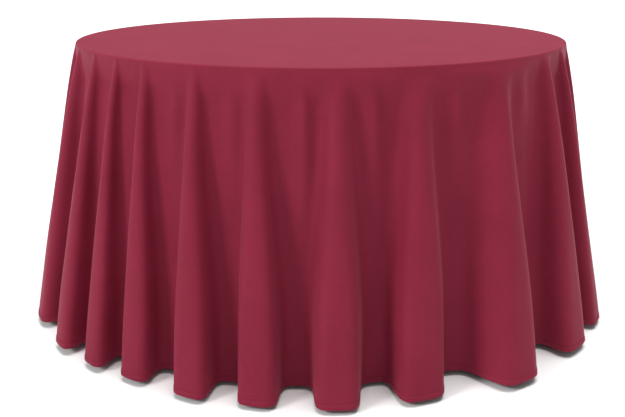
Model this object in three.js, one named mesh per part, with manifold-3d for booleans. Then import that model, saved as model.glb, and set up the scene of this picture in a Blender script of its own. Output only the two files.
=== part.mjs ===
// A floor-length round tablecloth draped over a round folding banquet table.
// Millimetres, +Z up. The origin is on the floor, under the middle of the table.

import * as THREE from "three";
import { mergeVertices } from "three/addons/utils/BufferGeometryUtils.js";
import Module from "manifold-3d";

const wasm = await Module();
wasm.setup();

// Clearances
const gap = 0.3; // between pieces that touch
const runningClearance = 0.7; // round a tube that turns in its collar

// Tabletop
const tableHeight = 762; // floor to the top of the wood
const topDiameter = 1524; // over the edge moulding
const plywoodThickness = 19;
const mouldingHeight = 34;
const mouldingWidth = 12;
const mouldingRound = 4; // rounding of its two outer edges
const roundSteps = 2; // flats in that rounding, and in the cloth's bend over it

// Tablecloth
const clothThickness = 0.7;
const floorClearance = 9; // under the hem
const hemHeight = 12;
const hemLayers = 3;
const foldCount = 29; // folds round the skirt
const crestFlare = 160; // how far a fold's crest leans out at the hem
const troughFlare = 52; // how far a fold's trough leans out at the hem
const columnsPerFold = 6;
const skirtRows = 4;

// Folding leg frames
const tubeRadius = 12.7;
const tubeWall = 1.5;
const crossbarRadius = 11;
const legHalfSpan = 320; // from a frame's middle to its legs
const footInset = 128; // from the table's edge in to a foot, seen from above
const splay = THREE.MathUtils.degToRad(4.5);
const nestClearance = 8.6; // between the two frames' tubes when both are folded
const frameShift = 20; // each frame sits this far to its own side along Y
const crossbarDrop = 220; // along the legs, from the hinge line to the crossbar
const capWall = 3;
const capSleeve = 26; // how far a foot cap reaches up its leg
const capFloor = 6; // rubber under the leg's end

// Hinge brackets
const plateThickness = 3;
const hingePlateLength = 70;
const hingePlateWidth = 30;
const hingeWeb = 14;
const collarWall = 3;
const hingeInset = 50; // from a leg's axis in to its hinge bracket's middle

// Folding stays
const stayThickness = 3;
const stayWidth = 18;
const stayHeadroom = 2.7; // between a stay and the plate above it
const foldedClearance = 5; // between a folded frame's crossbar and the stay above it
const eyeWall = 5;
const rivetRadius = 4;
const rivetHeadRadius = 5.5;
const rivetHead = 2;
const stayPlateLength = 56;
const stayPlateWidth = 32;

// Screws
const screwRadius = 2.2;
const screwHeadRadius = 4.6;
const screwHead = 2.4;
const screwDepth = 13; // into the wood
const screwClearance = 0.4; // round the shank
const screwEdge = 9; // from a plate's end to the screw

// Worked out from the sizes above
const topRadius = topDiameter / 2;
const underside = tableHeight - plywoodThickness;
const columns = foldCount * columnsPerFold;
const clothTop = tableHeight + gap + clothThickness;
const clothBendRadius = mouldingRound + gap + clothThickness;
const rimRadius = topRadius + gap + clothThickness;
const capRadius = tubeRadius + gap + capWall;
const stayPlane = stayThickness + gap; // spacing of the flat bars along Y
// Drops from the wood's underside: to a stay's upper pivot, and to each frame's hinge line
const stayPivotDrop = gap + plateThickness + stayHeadroom + stayWidth / 2;
const highPivotDrop = stayPivotDrop + stayWidth / 2 + foldedClearance + crossbarRadius;
const lowPivotDrop = highPivotDrop + 2 * tubeRadius + nestClearance;

const materials = {
  cloth: { color: 0x7d2338, roughness: 0.75, metalness: 0 },
  plywood: { color: 0xb98a57, roughness: 0.6, metalness: 0 },
  moulding: { color: 0x3a3230, roughness: 0.5, metalness: 0 },
  steel: { color: 0x55585c, roughness: 0.4, metalness: 0 },
  zinc: { color: 0xb4b8bc, roughness: 0.35, metalness: 1 },
  rubber: { color: 0x1c1c1d, roughness: 0.8, metalness: 0 },
};

const table = new THREE.Group();

function addMesh(parent, name, geometry, materialName) {
  const mesh = new THREE.Mesh(geometry, new THREE.MeshStandardMaterial(materials[materialName]));
  mesh.name = name;
  parent.add(mesh);
  return mesh;
}

// Solids: a geometry is moved into place, then joined or cut

function moved(geometry, x, y, z) {
  return geometry.translate(x, y, z);
}

function toSolid(geometry) {
  const bare = geometry.clone();
  bare.deleteAttribute("normal");
  bare.deleteAttribute("uv");
  const merged = mergeVertices(bare, 1e-4);
  return new wasm.Manifold(
    new wasm.Mesh({
      numProp: 3,
      vertProperties: new Float32Array(merged.attributes.position.array),
      triVerts: new Uint32Array(merged.index.array),
    }),
  );
}

function toGeometry(solid) {
  const mesh = solid.getMesh();
  const geometry = new THREE.BufferGeometry();
  geometry.setAttribute("position", new THREE.BufferAttribute(new Float32Array(mesh.vertProperties), 3));
  geometry.setIndex(new THREE.BufferAttribute(new Uint32Array(mesh.triVerts), 1));
  geometry.computeVertexNormals();
  return geometry;
}

function joined(...geometries) {
  return toGeometry(geometries.map(toSolid).reduce((whole, piece) => whole.add(piece)));
}

function cut(geometry, ...tools) {
  return toGeometry(tools.map(toSolid).reduce((whole, tool) => whole.subtract(tool), toSolid(geometry)));
}

// Cylinders along each axis, with their middle at the origin

function rodY(radius, length, sides = 24) {
  return new THREE.CylinderGeometry(radius, radius, length, sides);
}

function rodZ(radius, length, sides = 24) {
  return rodY(radius, length, sides).rotateX(Math.PI / 2);
}

function tubeY(length, sides = 24) {
  return ringY(tubeRadius, tubeRadius - tubeWall, length, sides);
}

function ringY(outer, inner, length, sides = 24) {
  const half = length / 2;
  const profile = [
    new THREE.Vector2(inner, -half),
    new THREE.Vector2(outer, -half),
    new THREE.Vector2(outer, half),
    new THREE.Vector2(inner, half),
    new THREE.Vector2(inner, -half),
  ];
  return new THREE.LatheGeometry(profile, sides);
}

// A flat bar in the XZ plane from the origin along +X, with round ends and an eye round each pivot

function flatBar(length, holeAtStart, holeAtEnd, eyeRadius = stayWidth / 2) {
  const half = stayWidth / 2;
  const outline = new THREE.Shape();
  const meet = Math.asin(Math.min(1, half / eyeRadius));
  outline.absarc(0, 0, eyeRadius, meet, 2 * Math.PI - meet);
  outline.absarc(length, 0, half, -Math.PI / 2, Math.PI / 2);
  outline.closePath();
  for (const [x, radius] of [[0, holeAtStart], [length, holeAtEnd]]) {
    const hole = new THREE.Path();
    hole.absarc(x, 0, radius, 0, 2 * Math.PI, true);
    outline.holes.push(hole);
  }
  const bar = new THREE.ExtrudeGeometry(outline, { depth: stayThickness, bevelEnabled: false, curveSegments: 12 });
  return bar.translate(0, 0, -stayThickness / 2).rotateX(Math.PI / 2);
}

// Tablecloth. A ring is one loop of points round the skirt; the shell is stitched from rings that run
// down the outside and back up the inside. Each four-sided patch is cut along the same diagonal on both
// sides of the cloth, so the two walls stay parallel.

function foldedRing(z, crestRadius, troughRadius, inset) {
  const middle = (crestRadius + troughRadius) / 2;
  const swing = (crestRadius - troughRadius) / 2;
  const outline = (angle) => {
    const radius = middle + swing * Math.cos(foldCount * angle);
    return new THREE.Vector2(radius * Math.cos(angle), radius * Math.sin(angle));
  };
  const step = (2 * Math.PI) / columns;
  const points = [];
  for (let i = 0; i < columns; i++) {
    const here = outline(i * step);
    const along = outline((i + 1) * step).sub(outline((i - 1) * step)).normalize();
    points.push(new THREE.Vector3(here.x - along.y * inset, here.y + along.x * inset, z));
  }
  return points;
}

function shellGeometry(rings, firstPole, lastPole) {
  const positions = rings.flat().flatMap((p) => [p.x, p.y, p.z]);
  const faces = [];
  const vertex = (ring, column) => ring * columns + (column % columns);
  const bandCount = firstPole ? rings.length - 1 : rings.length;
  for (let ring = 0; ring < bandCount; ring++) {
    const next = (ring + 1) % rings.length;
    const inside = ring >= rings.length / 2;
    for (let i = 0; i < columns; i++) {
      faces.push(vertex(ring, i), vertex(next, i), vertex(inside ? ring : next, i + 1));
      faces.push(vertex(inside ? next : ring, i), vertex(next, i + 1), vertex(ring, i + 1));
    }
  }
  if (firstPole) {
    const first = positions.length / 3;
    positions.push(...firstPole.toArray(), ...lastPole.toArray());
    for (let i = 0; i < columns; i++) {
      faces.push(first, vertex(0, i), vertex(0, i + 1));
      faces.push(first + 1, vertex(rings.length - 1, i + 1), vertex(rings.length - 1, i));
    }
  }
  const geometry = new THREE.BufferGeometry();
  geometry.setAttribute("position", new THREE.Float32BufferAttribute(positions, 3));
  geometry.setIndex(faces);
  geometry.computeVertexNormals();
  return geometry;
}

// The folds begin under the moulding, and both crest and trough then run to the hem

function skirtRadii(z) {
  const drop = (clothTop - clothBendRadius - z) / (clothTop - clothBendRadius - floorClearance);
  const underMoulding = (clothTop - z - mouldingHeight - gap) / (clothTop - mouldingHeight - gap - floorClearance);
  return {
    crest: rimRadius + crestFlare * Math.pow(Math.max(0, drop), 0.85),
    trough: rimRadius + troughFlare * Math.max(0, underMoulding),
  };
}

function skirtRing(z, inset) {
  const { crest, trough } = skirtRadii(z);
  return foldedRing(z, crest, trough, inset);
}

function clothGeometry() {
  const bendCentre = rimRadius - clothBendRadius;
  const outer = [];
  const inner = [];
  for (let i = 0; i <= roundSteps; i++) {
    const turn = (i / roundSteps) * (Math.PI / 2);
    for (const [rings, radius] of [[outer, clothBendRadius], [inner, clothBendRadius - clothThickness]]) {
      const rim = bendCentre + radius * Math.sin(turn);
      rings.push(foldedRing(clothTop - clothBendRadius + radius * Math.cos(turn), rim, rim, 0));
    }
  }
  const upper = clothTop - mouldingHeight - gap - clothThickness;
  const lower = floorClearance + hemHeight + gap;
  for (let i = 0; i <= skirtRows; i++) {
    const z = upper + ((lower - upper) * i) / skirtRows;
    outer.push(skirtRing(z, 0));
    inner.push(skirtRing(z, clothThickness));
  }
  const middleTop = new THREE.Vector3(0, 0, clothTop);
  const middleBottom = new THREE.Vector3(0, 0, clothTop - clothThickness);
  return shellGeometry([...outer, ...inner.reverse()], middleTop, middleBottom);
}

// The hem: the cloth's edge turned in twice, so the band is three layers thick

function hemGeometry() {
  const thickness = hemLayers * clothThickness;
  const top = floorClearance + hemHeight;
  return shellGeometry([
    skirtRing(top, 0),
    skirtRing(floorClearance, 0),
    skirtRing(floorClearance, thickness),
    skirtRing(top, thickness),
  ]);
}

// Tabletop: a plywood disc let into a moulding

function mouldingGeometry() {
  const bottom = tableHeight - mouldingHeight;
  const inner = topRadius - mouldingWidth;
  const profile = [new THREE.Vector2(inner, bottom)];
  for (const [height, from] of [[bottom + mouldingRound, -Math.PI / 2], [tableHeight - mouldingRound, 0]]) {
    for (let i = 0; i <= roundSteps; i++) {
      const turn = from + (i / roundSteps) * (Math.PI / 2);
      const out = topRadius - mouldingRound + mouldingRound * Math.cos(turn);
      profile.push(new THREE.Vector2(out, height + mouldingRound * Math.sin(turn)));
    }
  }
  profile.push(new THREE.Vector2(inner, tableHeight), new THREE.Vector2(inner, bottom));
  return new THREE.LatheGeometry(profile, columns).rotateX(Math.PI / 2);
}

function tabletopGeometry(screwPlaces) {
  const radius = topRadius - mouldingWidth - gap;
  const disc = moved(rodZ(radius, plywoodThickness, columns), 0, 0, tableHeight - plywoodThickness / 2);
  const holeDepth = screwDepth + gap;
  const holes = screwPlaces.map(([x, y]) =>
    moved(rodZ(screwRadius + screwClearance, 2 * holeDepth, 10), x, y, underside),
  );
  return cut(disc, ...holes);
}

function screwGeometry() {
  const plateTop = underside - gap;
  const headTop = plateTop - plateThickness - gap;
  const shankTop = underside + screwDepth;
  const head = moved(rodZ(screwHeadRadius, screwHead, 16), 0, 0, headTop - screwHead / 2);
  const shankLength = shankTop - headTop + screwHead / 2;
  const shank = moved(rodZ(screwRadius, shankLength, 10), 0, 0, shankTop - shankLength / 2);
  return joined(head, shank);
}

// A plate held up under the wood by two screws, one near each end

function screwedPlate(length, width) {
  const middle = underside - gap - plateThickness / 2;
  const plate = moved(new THREE.BoxGeometry(length, width, plateThickness), 0, 0, middle);
  const holes = [-1, 1].map((end) =>
    moved(rodZ(screwRadius + screwClearance, 3 * plateThickness, 10), end * (length / 2 - screwEdge), 0, middle),
  );
  return cut(plate, ...holes);
}

function hingeBracketGeometry(pivotZ) {
  const bore = tubeRadius + runningClearance;
  const plateBottom = underside - gap - plateThickness;
  const webLength = plateBottom - pivotZ + plateThickness / 2;
  const web = moved(new THREE.BoxGeometry(hingeWeb, hingePlateWidth, webLength), 0, 0, pivotZ + webLength / 2);
  const collar = moved(rodY(bore + collarWall, hingePlateWidth), 0, 0, pivotZ);
  const hole = moved(rodY(bore, 2 * hingePlateWidth), 0, 0, pivotZ);
  return cut(joined(screwedPlate(hingePlateLength, hingePlateWidth), web, collar), hole);
}

function stayBracketGeometry() {
  const pivotZ = underside - stayPivotDrop;
  const plateMiddle = underside - gap - plateThickness / 2;
  const lugHeight = plateMiddle - pivotZ;
  const lug = moved(new THREE.BoxGeometry(stayWidth, stayThickness, lugHeight), 0, -stayPlane, pivotZ + lugHeight / 2);
  const lugEnd = moved(rodY(stayWidth / 2, stayThickness), 0, -stayPlane, pivotZ);
  const pinLength = 2 * stayThickness + gap + rivetHead;
  const pin = moved(rodY(rivetRadius, pinLength, 16), 0, pinLength / 2 - 1.5 * stayThickness - gap, pivotZ);
  const headMiddle = stayThickness / 2 + gap + rivetHead / 2;
  const head = moved(rodY(rivetHeadRadius, rivetHead, 16), 0, headMiddle, pivotZ);
  return joined(screwedPlate(stayPlateLength, stayPlateWidth), lug, lugEnd, pin, head);
}

// Leg frame, in its own axes: the hinge line along Y through the origin, legs down -Z

function legGeometry(length) {
  const leg = tubeY(length, 24).rotateX(Math.PI / 2).translate(0, 0, -length / 2);
  const saddle = rodY(tubeRadius + gap, 4 * tubeRadius);
  return cut(leg, saddle);
}

function crossbarGeometry() {
  const bar = rodY(crossbarRadius, 2 * legHalfSpan);
  const saddles = [-1, 1].map((end) => moved(rodZ(tubeRadius + gap, 6 * tubeRadius), 0, end * legHalfSpan, 0));
  return cut(bar, ...saddles);
}

function footCapGeometry(side, legLength, floorDistance) {
  const bottom = floorDistance + 2 * capRadius;
  const height = bottom - legLength + capSleeve;
  const sleeve = moved(rodZ(capRadius, height), 0, 0, capSleeve - legLength - height / 2);
  const socketDepth = capSleeve + gap;
  const socket = moved(rodZ(tubeRadius + gap, 2 * socketDepth), 0, 0, capSleeve - legLength);
  const floor = new THREE.BoxGeometry(8 * capRadius, 8 * capRadius, 4 * capRadius);
  floor.translate(0, 0, -2 * capRadius).rotateY(side * splay).translate(0, 0, -floorDistance);
  return cut(sleeve, socket, floor);
}

function addLegFrame(side, label, pivot) {
  const floorDistance = pivot.z / Math.cos(splay); // along a leg, from the hinge line to the floor
  const legLength = floorDistance - capFloor;
  const frame = new THREE.Group();
  frame.position.copy(pivot);
  frame.rotation.y = -side * splay;
  table.add(frame);
  addMesh(frame, `pivot_tube_${label}`, tubeY(2 * (legHalfSpan + tubeRadius)), "steel");
  addMesh(frame, `crossbar_${label}`, crossbarGeometry(), "steel").position.z = -crossbarDrop;
  for (const [end, place] of [[-1, "front"], [1, "back"]]) {
    const leg = addMesh(frame, `leg_${label}_${place}`, legGeometry(legLength), "steel");
    leg.position.y = end * legHalfSpan;
    const cap = addMesh(frame, `foot_cap_${label}_${place}`, footCapGeometry(side, legLength, floorDistance), "rubber");
    cap.position.y = end * legHalfSpan;
  }
}

// Folding stay: two flat bars, straight while the legs stand, knee rivet between them

function addStay(side, label, pivot) {
  const upperEnd = new THREE.Vector3(pivot.x - side * crossbarDrop, pivot.y, underside - stayPivotDrop);
  const lowerEnd = new THREE.Vector3(
    pivot.x + side * crossbarDrop * Math.sin(splay),
    pivot.y,
    pivot.z - crossbarDrop * Math.cos(splay),
  );
  const barLength = upperEnd.distanceTo(lowerEnd) / 2;
  const slope = Math.atan2(upperEnd.z - lowerEnd.z, lowerEnd.x - upperEnd.x);
  const rivetHole = rivetRadius + gap;

  const upper = addMesh(table, `upper_stay_${label}`, flatBar(barLength, rivetHole, rivetHole), "zinc");
  upper.position.copy(upperEnd);
  upper.rotation.y = slope;

  const eyeBore = crossbarRadius + runningClearance;
  const lower = new THREE.Group();
  lower.position.set(lowerEnd.x, lowerEnd.y + stayPlane, lowerEnd.z);
  lower.rotation.y = slope + Math.PI;
  table.add(lower);
  addMesh(lower, `lower_stay_${label}`, flatBar(barLength, eyeBore, rivetHole, eyeBore + eyeWall), "zinc");

  const shankLength = stayThickness + gap + rivetHead / 2;
  const shank = moved(rodY(rivetRadius, shankLength, 16), 0, (shankLength - stayThickness) / 2, 0);
  const head = moved(rodY(rivetHeadRadius, rivetHead, 16), 0, stayThickness / 2 + gap + rivetHead / 2, 0);
  addMesh(lower, `knee_rivet_${label}`, joined(shank, head), "zinc").position.x = barLength;

  const bracket = addMesh(table, `stay_bracket_${label}`, stayBracketGeometry(), "zinc");
  bracket.position.set(upperEnd.x, upperEnd.y, 0);
}

// The two sides of the table

const screwPlaces = [];

function addScrews(name, x, y, plateLength) {
  for (const end of [-1, 1]) {
    const screw = addMesh(table, `screw_${name}_${end < 0 ? "a" : "b"}`, screwGeometry(), "zinc");
    screw.position.set(x + end * (plateLength / 2 - screwEdge), y, 0);
    screwPlaces.push([screw.position.x, screw.position.y]);
  }
}

function addSide(side, label, pivotDrop) {
  const middleY = side * frameShift;
  const footX = Math.sqrt((topRadius - footInset) ** 2 - (legHalfSpan + frameShift) ** 2);
  const pivotZ = underside - pivotDrop;
  const pivot = new THREE.Vector3(side * (footX - pivotZ * Math.tan(splay)), middleY, pivotZ);
  addLegFrame(side, label, pivot);
  addStay(side, label, pivot);
  addScrews(`stay_${label}`, pivot.x - side * crossbarDrop, middleY, stayPlateLength);
  for (const [end, place] of [[-1, "front"], [1, "back"]]) {
    const y = middleY + end * (legHalfSpan - hingeInset);
    const bracket = addMesh(table, `hinge_bracket_${label}_${place}`, hingeBracketGeometry(pivotZ), "steel");
    bracket.position.set(pivot.x, y, 0);
    addScrews(`hinge_${label}_${place}`, pivot.x, y, hingePlateLength);
  }
}

addSide(-1, "left", highPivotDrop);
addSide(1, "right", lowPivotDrop);
addMesh(table, "tabletop", tabletopGeometry(screwPlaces), "plywood");
addMesh(table, "edge_moulding", mouldingGeometry(), "moulding");
addMesh(table, "tablecloth", clothGeometry(), "cloth");
addMesh(table, "hem", hemGeometry(), "cloth");

export default table;
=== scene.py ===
import math

import bpy
import numpy as np
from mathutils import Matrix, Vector, noise


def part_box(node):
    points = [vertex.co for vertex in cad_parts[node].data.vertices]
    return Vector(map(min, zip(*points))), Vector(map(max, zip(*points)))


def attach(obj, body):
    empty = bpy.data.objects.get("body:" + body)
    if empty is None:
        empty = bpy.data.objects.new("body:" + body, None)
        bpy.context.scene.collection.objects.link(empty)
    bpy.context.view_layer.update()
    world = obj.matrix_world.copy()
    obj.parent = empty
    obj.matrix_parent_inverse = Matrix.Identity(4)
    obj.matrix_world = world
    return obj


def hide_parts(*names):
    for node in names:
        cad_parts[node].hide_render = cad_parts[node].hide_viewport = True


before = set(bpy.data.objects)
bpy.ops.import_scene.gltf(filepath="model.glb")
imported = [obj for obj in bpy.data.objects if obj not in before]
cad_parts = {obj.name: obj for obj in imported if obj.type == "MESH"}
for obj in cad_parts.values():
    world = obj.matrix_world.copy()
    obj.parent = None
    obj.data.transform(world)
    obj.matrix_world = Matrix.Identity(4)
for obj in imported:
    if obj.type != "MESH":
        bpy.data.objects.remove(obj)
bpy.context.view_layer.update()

# A floor-length round tablecloth on a round folding table. Metres, +Z up, floor at z = 0.

# Sizes taken from the frame

moulding_low, moulding_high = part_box("edge_moulding")
_, cloth_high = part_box("tablecloth")
hem_low, hem_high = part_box("hem")

TOP_RADIUS = moulding_high.x
TOP_HEIGHT = moulding_high.z
CLOTH_HEIGHT = cloth_high.z
MOULDING_HEIGHT = moulding_high.z - moulding_low.z
HEM_HEIGHT = hem_high.z - hem_low.z
HEM_RADIUS = hem_high.x  # the crests of the folds, at the hem

CLOTH_DIAMETER = 3.048
CLOTH_THICKNESS = 0.00045
EDGE_ROUND = 0.004  # the moulding's rounded edge
SKIRT_LENGTH = CLOTH_DIAMETER / 2 - TOP_RADIUS


# Camera

LENS = 39.8
SENSOR_WIDTH = 36
LENS_SHIFT = (-0.0135, -0.12)
CAMERA_DISTANCE = 2.281  # in front of the table's middle
CAMERA_RISE = 0.220  # above the cloth's top
CAMERA_DIP = 13.7  # degrees below level
FARTHEST_SEEN = 200


def make_camera():
    """A low view from the front, a little above the tabletop, with the skirt filling the frame."""
    data = bpy.data.cameras.new("camera")
    camera = bpy.data.objects.new("camera", data)
    bpy.context.scene.collection.objects.link(camera)
    bpy.context.scene.camera = camera
    data.sensor_width = SENSOR_WIDTH
    data.lens = LENS
    data.shift_x, data.shift_y = LENS_SHIFT
    data.clip_end = FARTHEST_SEEN
    camera.location = (0, -CAMERA_DISTANCE, CLOTH_HEIGHT + CAMERA_RISE)
    camera.rotation_euler = (math.radians(90 - CAMERA_DIP), 0, 0)


make_camera()


# Shader tools

class Wire:
    """A shader socket that can be used in plain arithmetic."""

    def __init__(self, maker, socket):
        self.maker = maker
        self.socket = socket

    def _math(self, operation, *operands):
        return self.maker.node("ShaderNodeMath", {"operation": operation}, dict(enumerate(operands)))

    def __add__(self, other):
        return self._math("ADD", self, other)

    def __mul__(self, other):
        return self._math("MULTIPLY", self, other)

    def sine(self):
        return self._math("SINE", self)

    __radd__ = __add__
    __rmul__ = __mul__


class Finish:
    """A material and the nodes that make it. node() makes every node."""

    def __init__(self, name, **constants):
        self.material = bpy.data.materials.new(name)
        self.material.use_nodes = True
        self.tree = self.material.node_tree
        self.shader = self.tree.nodes["Principled BSDF"]
        for socket, value in constants.items():
            self.shader.inputs[socket.replace("_", " ")].default_value = value

    def node(self, kind, settings=None, values=None, output=0):
        made = self.tree.nodes.new(kind)
        for key, value in (settings or {}).items():
            if key == "stops":
                self._set_stops(made.color_ramp, value)
            else:
                setattr(made, key, value)
        for key, value in (values or {}).items():
            if isinstance(value, Wire):
                self.tree.links.new(value.socket, made.inputs[key])
            else:
                made.inputs[key].default_value = value
        return Wire(self, made.outputs[output])

    @staticmethod
    def _set_stops(ramp, stops):
        while len(ramp.elements) < len(stops):
            ramp.elements.new(0.5)
        for element, (place, shade) in zip(ramp.elements, stops):
            element.position = place
            element.color = shade

    def feed(self, socket, wire):
        self.tree.links.new(wire.socket, self.shader.inputs[socket])

    def mix(self, factor, first, second):
        """Two colours mixed by a factor."""
        return self.node("ShaderNodeMix", {"data_type": "RGBA"}, {0: factor, 6: first, 7: second}, output=2)

    def noise(self, where, scale, detail=2.0, roughness=0.5):
        values = {"Vector": where, "Scale": scale, "Detail": detail, "Roughness": roughness}
        return self.node("ShaderNodeTexNoise", None, values)

    def stretched(self, where, x, y, z):
        """The same place with each axis scaled."""
        return self.node("ShaderNodeVectorMath", {"operation": "MULTIPLY"}, {0: where, 1: (x, y, z)})

    def ramp(self, factor, *stops):
        return self.node("ShaderNodeValToRGB", {"stops": stops}, {0: factor})

    def bumped(self, height, distance, strength=1.0):
        values = {"Height": height, "Distance": distance, "Strength": strength}
        self.feed("Normal", self.node("ShaderNodeBump", None, values))

    def split(self, vector):
        """The x and the y of a vector."""
        x = self.node("ShaderNodeSeparateXYZ", None, {0: vector})
        return x, Wire(self, x.socket.node.outputs["Y"])

    def place(self):
        """Where a point is on its own piece."""
        return self.node("ShaderNodeTexCoord", output="Object")

    def uv(self, name):
        return self.node("ShaderNodeUVMap", {"uv_map": name})


THREAD_PITCH = 0.0009


def woven_polyester():
    """Plain-woven polyester: a fine thread, slubs along both thread directions, a soft sheen."""
    finish = Finish(
        "burgundy_polyester", Sheen_Weight=0.12, Sheen_Roughness=0.40, Specular_IOR_Level=0.10
    )
    finish.shader.inputs["Sheen Tint"].default_value = (1.0, 0.38, 0.45, 1)
    flat = finish.uv("flat")
    warp_slub = finish.noise(finish.stretched(flat, 900, 26, 1), 1, 2)
    weft_slub = finish.noise(finish.stretched(flat, 26, 900, 1), 1, 2)
    cloudy = finish.noise(flat, 5.5, 3, 0.6)
    slubs = (warp_slub + weft_slub) * 0.5
    shade = slubs * 0.68 + cloudy * 0.32
    colour = finish.ramp(
        shade,
        (0.34, (0.180, 0.0120, 0.030, 1)),
        (0.66, (0.240, 0.0180, 0.045, 1)),
    )
    finish.feed("Base Color", colour)
    finish.feed("Roughness", 0.56 + slubs * 0.16)
    thread = 2 * math.pi / THREAD_PITCH
    warp, weft = finish.split(finish.stretched(flat, thread, thread, 1))
    weave = warp.sine() * weft.sine()
    finish.bumped(weave * 0.25 + slubs * 0.75, 0.00012, 0.8)
    return finish.material


def sewing_thread():
    """Twisted polyester thread in the cloth's colour."""
    finish = Finish("burgundy_thread", Sheen_Weight=0.3, Sheen_Roughness=0.4)
    ply = finish.noise(finish.stretched(finish.place(), 2400, 2400, 2400), 1, 1)
    colour = finish.ramp(ply, (0.3, (0.10, 0.011, 0.023, 1)), (0.7, (0.17, 0.022, 0.042, 1)))
    finish.feed("Base Color", colour)
    finish.feed("Roughness", 0.42 + ply * 0.2)
    return finish.material


def birch_plywood():
    finish = Finish("birch_plywood", Coat_Roughness=0.35)
    where = finish.place()
    bent = finish.noise(finish.stretched(where, 1.2, 5, 5), 1, 3)
    grain = finish.noise(finish.stretched(where, 2.2, 95, 60), 1, 4, 0.65)
    rings = finish.node(
        "ShaderNodeTexWave",
        {"wave_type": "BANDS", "bands_direction": "Y"},
        {"Vector": finish.stretched(where, 0.6, 9, 20), "Scale": 1.0, "Distortion": 7.0, "Detail": 3.0},
        output=1,
    )
    tone = grain * 0.45 + rings * 0.35 + bent * 0.3
    colour = finish.ramp(
        tone,
        (0.25, (0.30, 0.165, 0.075, 1)),
        (0.6, (0.47, 0.29, 0.145, 1)),
        (0.9, (0.58, 0.39, 0.21, 1)),
    )
    finish.feed("Base Color", colour)
    finish.feed("Roughness", 0.42 + grain * 0.2)
    finish.feed("Coat Weight", 0.12 + bent * 0.12)
    finish.bumped(grain, 0.0004, 0.5)
    return finish.material


def brown_vinyl():
    finish = Finish("brown_vinyl_edge", Specular_IOR_Level=0.45)
    where = finish.place()
    pebble = finish.noise(where, 900, 2)
    scuffs = finish.noise(finish.stretched(where, 60, 60, 12), 1, 5, 0.7)
    finish.feed("Base Color", finish.mix(scuffs, (0.045, 0.030, 0.024, 1), (0.085, 0.062, 0.052, 1)))
    finish.feed("Roughness", 0.38 + scuffs * 0.3)
    finish.bumped(pebble, 0.0002, 0.35)
    return finish.material


def grey_powder_coat():
    finish = Finish("grey_powder_coat", Specular_IOR_Level=0.5)
    where = finish.place()
    orange_peel = finish.noise(where, 420, 2)
    worn = finish.noise(where, 9, 4, 0.65)
    finish.feed("Base Color", finish.mix(worn, (0.085, 0.092, 0.098, 1), (0.135, 0.142, 0.150, 1)))
    finish.feed("Roughness", 0.30 + worn * 0.22 + orange_peel * 0.08)
    finish.bumped(orange_peel, 0.00035, 0.4)
    return finish.material


def zinc_plate():
    finish = Finish("zinc_plate", Metallic=1.0)
    where = finish.place()
    spangle = finish.node("ShaderNodeTexVoronoi", None, {"Vector": where, "Scale": 160.0})
    drawn = finish.noise(finish.stretched(where, 25, 900, 900), 1, 3)
    finish.feed("Base Color", finish.mix(spangle * 0.6, (0.56, 0.58, 0.60, 1), (0.72, 0.72, 0.70, 1)))
    finish.feed("Roughness", 0.26 + drawn * 0.22)
    finish.bumped(drawn, 0.0001, 0.3)
    return finish.material


def black_rubber():
    finish = Finish("black_rubber", Specular_IOR_Level=0.35)
    where = finish.place()
    dust = finish.noise(where, 35, 5, 0.7)
    grain = finish.noise(where, 1400, 1)
    finish.feed("Base Color", finish.mix(dust, (0.012, 0.012, 0.013, 1), (0.045, 0.043, 0.041, 1)))
    finish.feed("Roughness", 0.62 + dust * 0.25)
    finish.bumped(grain, 0.0002, 0.4)
    return finish.material


def studio_floor():
    finish = Finish("studio_floor", Roughness=0.9, Specular_IOR_Level=0.1)
    mottle = finish.noise(finish.place(), 3, 2)
    finish.feed("Base Color", finish.mix(mottle, (0.86, 0.86, 0.86, 1), (0.90, 0.90, 0.90, 1)))
    return finish.material


# Mesh tools

def new_object(name, vertices, faces, material, smooth=True):
    mesh = bpy.data.meshes.new(name)
    mesh.from_pydata(vertices, [], faces)
    mesh.materials.append(material)
    mesh.update()
    if smooth:
        mesh.shade_smooth()
    made = bpy.data.objects.new(name, mesh)
    bpy.context.scene.collection.objects.link(made)
    return made


# The drape. A fold is cloth from one trough, over a crest, to the next trough. Azimuth 0 faces the
# front and grows towards +X. Each fold: azimuth of its crest at the hem, how much further round the
# crest stands at the rim, how boxy it is (0 is a plain wave), how much it leans to one side, how far it
# flares against the others, and how far below the rim it starts. Angles are in degrees.

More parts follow.
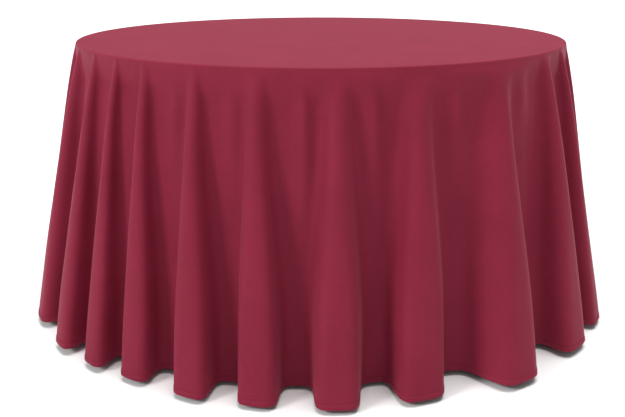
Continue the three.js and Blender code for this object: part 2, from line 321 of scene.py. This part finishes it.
AZIMUTH, RIM_SHIFT, BOXY, LEAN, FLARE, START = range(6)
FOLDS = (
    (2.4, 0.5, 1.0, 0.05, 1.00, 0.010),
    (15.0, 2.0, 1.0, 0.10, 0.98, 0.015),
    (30.6, 3.5, 0.8, -0.10, 1.19, 0.002),
    (46.6, 3.5, 0.9, 0.25, 1.14, 0.000),
    (56.0, 4.0, 0.9, 0.10, 1.08, 0.000),
    (68.5, 3.0, 0.8, 0.10, 0.84, 0.010),
    (80.0, 2.0, 0.9, -0.10, 0.90, 0.010),
    (92.5, 1.0, 1.0, -0.20, 1.05, 0.005),
    (106.0, -1.5, 0.8, 0.10, 0.98, 0.015),
    (118.0, 0.5, 0.9, 0.20, 1.01, 0.000),
    (132.0, 2.0, 1.0, -0.10, 1.06, 0.010),
    (145.0, -1.0, 0.8, 0.00, 0.97, 0.015),
    (157.5, 0.0, 0.9, 0.15, 1.00, 0.010),
    (171.0, -2.0, 0.8, -0.15, 1.03, 0.005),
    (183.5, 1.0, 0.9, 0.05, 0.99, 0.015),
    (197.0, 2.0, 1.0, 0.20, 1.02, 0.010),
    (210.0, 0.0, 0.8, -0.20, 0.99, 0.000),
    (222.5, -1.5, 0.9, -0.05, 1.04, 0.010),
    (236.5, 1.0, 1.0, 0.15, 1.00, 0.015),
    (249.5, -0.5, 0.8, 0.10, 0.98, 0.010),
    (263.0, -2.0, 0.9, -0.15, 1.02, 0.005),
    (276.5, -3.0, 0.8, 0.10, 1.00, 0.010),
    (290.0, -4.0, 0.9, -0.10, 0.92, 0.005),
    (302.4, -4.5, 0.9, -0.20, 1.11, 0.005),
    (313.8, -4.5, 0.9, -0.30, 1.15, 0.010),
    (321.9, -4.0, 0.9, -0.30, 1.11, 0.010),
    (329.5, -3.5, 0.9, -0.25, 1.02, 0.010),
    (340.2, -3.0, 1.0, -0.20, 1.03, 0.015),
    (350.2, -1.5, 1.0, -0.10, 0.98, 0.015),
)

# Small tucks that start between folds, just under the rim, and die out lower down. Azimuth in
# degrees, height in metres, and how far below the rim the tuck has gone.

TUCKS = (
    (9.0, 0.012, 0.42), (24.5, 0.010, 0.30), (40.5, 0.008, 0.22), (78.0, 0.009, 0.35),
    (101.0, 0.010, 0.30), (127.0, 0.012, 0.40), (152.0, 0.008, 0.28), (178.0, 0.012, 0.38),
    (204.0, 0.009, 0.30), (229.0, 0.010, 0.36), (256.0, 0.009, 0.26), (281.0, 0.010, 0.40),
    (304.0, 0.007, 0.25), (333.0, 0.010, 0.34), (344.5, 0.009, 0.30), (357.0, 0.014, 0.50),
)
TUCK_WIDTH = 1.0  # degrees, where a tuck starts
TUCK_SPREAD = 1.6  # how much wider it is where it ends

COLUMNS = 870
TOP_RINGS = (0.05, 0.25, 0.50, 0.68, 0.745)
RIM_ROWS = 5
SKIRT_ROWS = 40
FLARE_POWER = 0.86
SAMPLES = 49  # points along a fold
HEM_LAYER = 0.0009  # the hem's cloth on each side of the sheet
HEM_OVERLAP = 0.0004  # how far the hem's upper edge rises past its line
GATHERED_UNDER_RIM = 0.06  # extra cloth there, as a share
EASED_AT_HEM = 0.07  # cloth left out there, as a share
FULL_CRESTS = 0.2  # how much of the width the crests take from the troughs
DEEPEST_TROUGH = 0.10  # how far a trough may go in past the top's edge
RIDGE_AT_RIM, RIDGE_GAIN = 0.42, 0.58  # the ridge's share of a fold at the rim, and what it gains
STEEPEST_FLANK = 2.2  # radians
EVEN_WIDTHS = 0.7  # 1 shares the cloth by the folds' widths, 0 shares it equally
LEAST_FALL = 0.75  # the least drop of a row of cloth, as a share of its length
CRUMPLE_DEPTH = 0.0035  # as a share of the distance from the middle
CRUMPLE_START = 0.03  # below the rim
STITCH_PITCH = 0.0032
STITCH_ENDS = (0.0003, 0.0029)  # where one stitch starts and stops along its pitch
STITCH_INSET = 0.0015  # from the hem's upper edge


def smooth_step(x, low, high):
    t = np.clip((x - low) / (high - low), 0, 1)
    return t * t * (3 - 2 * t)


def fold_column(index):
    return np.array([fold[index] for fold in FOLDS])


def crest_radii(slant):
    """How far out each crest stands, by distance down the cloth from the rim."""
    start = fold_column(START)
    gone = np.clip((slant - start) / (SKIRT_LENGTH - start), 0, 1)
    flare = (HEM_RADIUS - TOP_RADIUS) * fold_column(FLARE) * gone ** FLARE_POWER
    return TOP_RADIUS + CLOTH_THICKNESS + flare


def fold_bounds(slant):
    """Crest and trough azimuths at one level, in radians, in order round the table."""
    share = 1 - np.clip(slant / SKIRT_LENGTH, 0, 1)
    crests = np.radians(fold_column(AZIMUTH) + fold_column(RIM_SHIFT) * share)
    nexts = np.append(crests[1:], crests[0] + 2 * math.pi)
    troughs = (crests + nexts) / 2
    return crests, np.append(troughs[-1] - 2 * math.pi, troughs)


def fold_section(slant, fold, stretch):
    """One fold's cross-section, trough to trough, where its cloth is stretch times as long as the gap it
    spans. Gives the share of the gap crossed, and the height over the troughs in lengths of cloth. The
    cloth's direction swings up one flank and down the other. The ridge is narrow under the rim and takes
    up the whole fold lower down, and a boxy fold has a flatter crest and steeper flanks."""
    boxy, lean = FOLDS[fold][BOXY], FOLDS[fold][LEAN]
    t = np.linspace(0, 1, SAMPLES)
    ridge = RIDGE_AT_RIM + RIDGE_GAIN * float(smooth_step(slant, -0.05, 0.65))
    swing = np.sin(2 * math.pi * np.clip((t - 0.5) / ridge + 0.5, 0, 1))
    tilt = lean * float(smooth_step(slant, 0.05, 0.40)) * swing ** 2
    boxy *= float(smooth_step(slant, 0.20, 0.75))
    swing = np.sign(swing) * ((1 - boxy) * np.abs(swing) + boxy * smooth_step(np.abs(swing), 0.3, 0.95))
    low, high = 0.0, STEEPEST_FLANK
    for _ in range(18):
        steepest = (low + high) / 2
        if np.mean(np.cos(steepest * swing + tilt)) * stretch > 1:
            low = steepest
        else:
            high = steepest
    slope = steepest * swing + tilt
    slope = (slope[1:] + slope[:-1]) / 2
    across = np.append(0, np.cumsum(np.cos(slope))) / (SAMPLES - 1)
    height = np.append(0, np.cumsum(np.sin(slope))) / (SAMPLES - 1)
    return across / across[-1], height - height[-1] * t


def step_lengths(azimuth, radius):
    """The length of each step along an outline."""
    return np.hypot(np.diff(radius * np.sin(azimuth)), np.diff(radius * np.cos(azimuth)))


def add_tucks(slant, azimuth, reach):
    """Small ridges between the folds, just below the rim."""
    for place, height, end in TUCKS:
        away = np.degrees(np.angle(np.exp(1j * (azimuth - math.radians(place)))))
        life = float(smooth_step(slant, 0.02, 0.10) * (1 - smooth_step(slant, 0.4 * end, end)))
        reach = reach + height * life * np.exp(-((away / (TUCK_WIDTH + TUCK_SPREAD * slant / end)) ** 2))
    return reach


def skirt_ring(slant, shares):
    """x and y of every column at one distance below the rim. The flat cloth's length there sets how deep
    the folds are, with a little more cloth under the rim and a little less towards the hem."""
    crests, troughs = fold_bounds(slant)
    radii = crest_radii(slant)
    gathered = GATHERED_UNDER_RIM * smooth_step(slant, 0.01, 0.06) * (1 - smooth_step(slant, 0.10, 0.60))
    eased = EASED_AT_HEM * smooth_step(slant, 0.15, SKIRT_LENGTH)
    cloth = (TOP_RADIUS + slant) * shares * float(1 + gathered - eased)
    gaps = np.diff(troughs)
    sections = []
    for fold, (gap, length, radius) in enumerate(zip(gaps, cloth, radii)):
        across, height = fold_section(slant, fold, max(1.0, length / (gap * radius)))
        for _ in range(3):  # the gap is measured half way up the fold, so this settles in a few turns
            middle = radius - height.max() * length / 2
            across, height = fold_section(slant, fold, max(1.0, length / (gap * middle)))
        sections.append((across, height * length))
    own = np.array([radius - height.max() for radius, (_, height) in zip(radii, sections)])
    after = (own + np.roll(own, -1)) / 2
    before = np.roll(after, 1)
    past_moulding = float(smooth_step(slant, 2 * MOULDING_HEIGHT, 4 * MOULDING_HEIGHT))
    lowest = TOP_RADIUS + CLOTH_THICKNESS - DEEPEST_TROUGH * past_moulding
    t = np.linspace(0, 1, SAMPLES)
    pieces = []
    for fold, (across, height) in enumerate(sections):
        middle = (crests[fold] - troughs[fold]) / gaps[fold]
        peak = across[SAMPLES // 2]
        across = np.where(across < peak, across / peak / 2, 1 - (1 - across) / (1 - peak) / 2)
        across = across - FULL_CRESTS * np.sin(2 * math.pi * across) / (2 * math.pi)
        placed = np.where(across < 0.5, 2 * across * middle, 1 - 2 * (1 - across) * (1 - middle))
        level = np.where(t < 0.5, before[fold], after[fold]) - own[fold]
        reach = radii[fold] - height.max() + height + level * (1 - 2 * t) ** 2
        azimuth = troughs[fold] + placed * gaps[fold]
        pieces.append((azimuth, np.maximum(add_tucks(slant, azimuth, reach), lowest)))
    azimuth = np.concatenate([piece[0][:-1] for piece in pieces] + [pieces[-1][0][-1:]])
    reach = np.concatenate([piece[1][:-1] for piece in pieces] + [pieces[-1][1][-1:]])
    steps = [step_lengths(*piece) for piece in pieces]
    steps = [step / step.sum() * share for step, share in zip(steps, shares)]
    along = np.append(0, np.cumsum(np.concatenate(steps)))
    return np.stack([
        np.interp(turns(), along, reach * np.sin(azimuth)),
        np.interp(turns(), along, -reach * np.cos(azimuth)),
    ], axis=1)


def fold_shares():
    """The angle of the flat round cloth that each fold takes, by its width at rim and hem. Wide and
    narrow folds are brought a little closer together."""
    at_rim = np.diff(fold_bounds(0)[1])
    at_hem = np.diff(fold_bounds(SKIRT_LENGTH)[1])
    width = (0.5 * at_rim + 0.5 * at_hem) ** EVEN_WIDTHS
    return width / width.sum() * 2 * math.pi


def circle(azimuth, radius, height):
    return np.stack([radius * np.sin(azimuth), -radius * np.cos(azimuth), np.full(COLUMNS, height)], axis=1)


def blurred(values, width):
    """Values smoothed round the table."""
    reach = 3 * width
    weights = np.exp(-0.5 * (np.arange(-reach, reach + 1) / width) ** 2)
    weights /= weights.sum()
    return sum(w * np.roll(values, k, axis=0) for k, w in zip(range(-reach, reach + 1), weights))


def draped_rows():
    """Rows of points from the middle of the top to the hem, and each row's distance along the cloth."""
    shares = fold_shares()
    height = TOP_HEIGHT + CLOTH_THICKNESS
    lowest = SKIRT_LENGTH - HEM_HEIGHT
    slants = [lowest * (i + 1) / SKIRT_ROWS for i in range(SKIRT_ROWS)] + [SKIRT_LENGTH]
    rings = [skirt_ring(slant, shares) for slant in slants]
    azimuth = blurred(np.unwrap(np.arctan2(rings[0][:, 0], -rings[0][:, 1])) - turns(), 6) + turns()
    rows = [circle(azimuth, radius, height) for radius in TOP_RINGS]
    reaches = list(TOP_RINGS)
    bend = EDGE_ROUND + CLOTH_THICKNESS
    centre = TOP_RADIUS - EDGE_ROUND
    for i in range(RIM_ROWS):
        turn = i / (RIM_ROWS - 1) * math.pi / 2
        rows.append(circle(azimuth, centre + bend * math.sin(turn), height - bend * (1 - math.cos(turn))))
        reaches.append(centre + bend * turn)
    for slant, ring in zip(slants, rings):
        step = TOP_RADIUS + slant - reaches[-1]
        sideways = np.hypot(*(ring - rows[-1][:, :2]).T)
        fall = np.sqrt(np.maximum(step ** 2 - sideways ** 2, (LEAST_FALL * step) ** 2))
        rows.append(np.column_stack([ring, blurred(rows[-1][:, 2] - fall, 3)]))
        reaches.append(TOP_RADIUS + slant)
    for row, reach in zip(rows, reaches):
        row[:, :2] *= 1 + crumple(reach)[:, None]
    return rows, reaches


def uneven(waves, level):
    """Smooth noise round the table, finer with more waves."""
    places = [Vector((waves * math.cos(t), waves * math.sin(t), level)) for t in turns()]
    return np.array([noise.noise(place) for place in places])


def crumple(reach):
    """Slight unevenness of the hanging cloth, as a share of its distance from the middle."""
    slant = reach - TOP_RADIUS
    if slant < CRUMPLE_START:
        return np.zeros(COLUMNS)
    depth = CRUMPLE_DEPTH * float(smooth_step(slant, CRUMPLE_START, 0.30))
    return depth * (uneven(9, 2.5 * slant) + 0.45 * uneven(31, 5 + 5 * slant))


def turns():
    """Each column's angle on the flat cloth."""
    return np.arange(COLUMNS) * 2 * math.pi / COLUMNS


def ring_faces(rows, first=0):
    """Four-sided faces between rows of points that close on themselves."""
    faces = []
    for row in range(rows - 1):
        upper, lower = first + row * COLUMNS, first + (row + 1) * COLUMNS
        for i in range(COLUMNS):
            j = (i + 1) % COLUMNS
            faces.append((upper + i, lower + i, lower + j, upper + j))
    return faces


def cloth_mesh(material, rows, reaches):
    vertices = [(0, 0, TOP_HEIGHT + CLOTH_THICKNESS)] + [tuple(p) for row in rows for p in row]
    faces = [(0, 1 + i, 1 + (i + 1) % COLUMNS) for i in range(COLUMNS)] + ring_faces(len(rows), 1)
    cloth = new_object("draped_cloth", vertices, faces, material)
    add_flat_map(cloth, np.concatenate([np.zeros((1, 2))] + [flat_ring(reach) for reach in reaches]))
    return cloth


def add_flat_map(piece, flat):
    """Each point's place on the cloth when it lay flat, in metres, as the piece's texture map."""
    layer = piece.data.uv_layers.new(name="flat")
    corners = np.empty(len(piece.data.loops), np.int32)
    piece.data.loops.foreach_get("vertex_index", corners)
    layer.data.foreach_set("uv", flat[corners].astype(np.float32).ravel())


def flat_ring(reach):
    return reach * np.stack([np.cos(turns()), np.sin(turns())], axis=1)


def hem_frame(rows):
    """The hem's upper and lower lines, the way down the cloth and the way out of it."""
    upper, lower = rows[-2], rows[-1]
    down = lower - upper
    down /= np.linalg.norm(down, axis=1)[:, None]
    along = np.roll(lower, -1, axis=0) - np.roll(lower, 1, axis=0)
    out = np.cross(down, along)
    out = blurred(out / np.linalg.norm(out, axis=1)[:, None], 1)
    out /= np.linalg.norm(out, axis=1)[:, None]
    return upper, lower, down, out


def make_hem(material, rows):
    """The cloth's edge turned in twice: a rounded band on both sides of the sheet."""
    upper, lower, down, out = hem_frame(rows)
    full = HEM_LAYER * out
    rounded = 0.6 * HEM_LAYER * out
    rise = HEM_OVERLAP * down
    turned = 0.7 * HEM_LAYER * down
    section = [
        upper + rounded - rise, upper + full, lower + full, lower + rounded + turned,
        lower - rounded + turned, lower - full, upper - full, upper - rounded - rise,
    ]
    vertices = [tuple(p) for line in section for p in line]
    faces = ring_faces(len(section))
    last = (len(section) - 1) * COLUMNS
    faces += [(last + i, i, (i + 1) % COLUMNS, last + (i + 1) % COLUMNS) for i in range(COLUMNS)]
    hem = new_object("turned_hem", vertices, faces, material)
    reaches = np.linspace(0, 2 * HEM_HEIGHT, len(section)) + CLOTH_DIAMETER / 2 - HEM_HEIGHT
    add_flat_map(hem, np.concatenate([flat_ring(reach) for reach in reaches]))
    return hem


def sampled(values, along, places):
    """What is given at every column of the hem, read off at places along it."""
    closed = np.vstack([values, values[:1]])
    return np.stack([np.interp(places, along, closed[:, k]) for k in range(3)], axis=1)


def make_stitching(material, rows):
    """One row of lock stitches along the hem's upper edge, on both faces."""
    upper, _, down, out = hem_frame(rows)
    line = upper + STITCH_INSET * down
    closed = np.vstack([line, line[:1]])
    along = np.append(0, np.cumsum(np.linalg.norm(np.diff(closed, axis=0), axis=1)))
    count = int(along[-1] / STITCH_PITCH)
    places = np.arange(count)[:, None] / count * along[-1] + np.array(STITCH_ENDS)
    halfway = places.mean(1)
    vertices, faces = [], []
    for side in (1, -1):
        face = line + side * HEM_LAYER * out
        start, end = [sampled(face, along, places[:, e]) for e in (0, 1)]
        middle = (start + end) / 2
        lift = sampled(out * side, along, halfway)
        drop = sampled(down, along, halfway)
        ring = [
            middle + 0.00032 * lift, middle + 0.00028 * drop,
            middle - 0.0002 * lift, middle - 0.00028 * drop,
        ]
        for i in range(count):
            first = len(vertices)
            vertices += [tuple(start[i]), tuple(end[i])] + [tuple(p[i]) for p in ring]
            for k in range(4):
                a, b = first + 2 + k, first + 2 + (k + 1) % 4
                faces += [(first, a, b), (first + 1, b, a)]
    return new_object("hem_stitching", vertices, faces, material)


def thicken(cloth):
    """The sheet's own thickness, added on its inner side."""
    solid = cloth.modifiers.new("thickness", "SOLIDIFY")
    solid.thickness = CLOTH_THICKNESS
    solid.offset = -1
    solid.use_rim = False


# Build

fabric = woven_polyester()
rows, reaches = draped_rows()
cloth = cloth_mesh(fabric, rows, reaches)
thicken(cloth)
hem = make_hem(fabric, rows)
stitching = make_stitching(sewing_thread(), rows)
for piece in (cloth, hem, stitching):
    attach(piece, "tablecloth")
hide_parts("tablecloth")
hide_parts("hem")

FINISHES = {
    "tabletop": birch_plywood(),
    "edge_moulding": brown_vinyl(),
    "steel": grey_powder_coat(),
    "zinc": zinc_plate(),
    "foot": black_rubber(),
}
STEEL = ("pivot_tube", "crossbar", "leg_", "hinge_bracket")
SHARP_EDGE = 35  # degrees between faces
WORN_EDGE = 40
WORN_WIDTH = 0.0004


def finish_for(name):
    if name in FINISHES:
        return FINISHES[name]
    if name.startswith("foot_cap"):
        return FINISHES["foot"]
    return FINISHES["steel" if name.startswith(STEEL) else "zinc"]


for name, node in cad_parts.items():
    if name not in ("tablecloth", "hem"):
        node.data.materials.clear()
        node.data.materials.append(finish_for(name))
        node.data.shade_smooth()
        node.data.set_sharp_from_angle(angle=math.radians(SHARP_EDGE))
        bevel = node.modifiers.new("worn_edges", "BEVEL")
        bevel.width = WORN_WIDTH
        bevel.segments = 2
        bevel.limit_method = "ANGLE"
        bevel.angle_limit = math.radians(WORN_EDGE)


# Floor and light

FLOOR_REACH = 90.0
SKY_STRENGTH = 0.39


def make_floor():
    far = FLOOR_REACH
    corners = [(-far, -far, 0), (far, -far, 0), (far, far, 0), (-far, far, 0)]
    floor = new_object("studio_floor", corners, [(0, 1, 2, 3)], studio_floor(), smooth=False)


def sun(name, azimuth, elevation, power, spread):
    """A broad, far light. Its azimuth is where it stands, seen from the table: 0 is the front."""
    data = bpy.data.lights.new(name, "SUN")
    data.energy = power
    data.angle = math.radians(spread)
    lamp = bpy.data.objects.new(name, data)
    bpy.context.scene.collection.objects.link(lamp)
    around, up = math.radians(azimuth), math.radians(elevation)
    towards = Vector((math.sin(around) * math.cos(up), -math.cos(around) * math.cos(up), math.sin(up)))
    lamp.rotation_euler = towards.to_track_quat("Z", "Y").to_euler()


def light_scene():
    scene = bpy.context.scene
    scene.view_settings.view_transform = "Standard"
    world = bpy.data.worlds.new("studio")
    scene.world = world
    world.use_nodes = True
    backdrop = world.node_tree.nodes["Background"]
    backdrop.inputs["Color"].default_value = (1, 1, 1, 1)
    backdrop.inputs["Strength"].default_value = SKY_STRENGTH
    sun("key", azimuth=-62, elevation=34, power=1.7, spread=16)
    sun("overhead", azimuth=140, elevation=80, power=3.3, spread=40)


make_floor()
light_scene()
